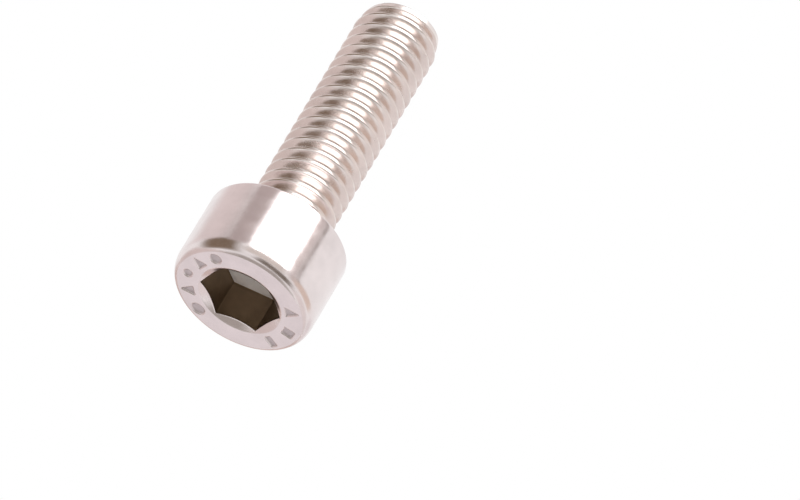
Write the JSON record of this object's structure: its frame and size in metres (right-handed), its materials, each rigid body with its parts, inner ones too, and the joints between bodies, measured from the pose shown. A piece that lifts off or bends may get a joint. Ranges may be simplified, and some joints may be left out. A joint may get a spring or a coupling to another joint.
{
  "type": "hex socket cap screw",
  "caption": "Stainless hex socket cap screw with a plain cylindrical head, a countersunk socket mouth and a coarse thread up to the head.",
  "frame": {"origin": "centre of the socketed face, which the screw stands on", "axes": "+Z along the screw's axis from the head to the tip, +X square to one flat of the hexagon"},
  "size_m": [0.01, 0.01, 0.026],
  "materials": {
    "stainless": "gloss"
  },
  "bodies": {
    "root": {"cap_screw": "stainless"}
  },
  "joints": []
}
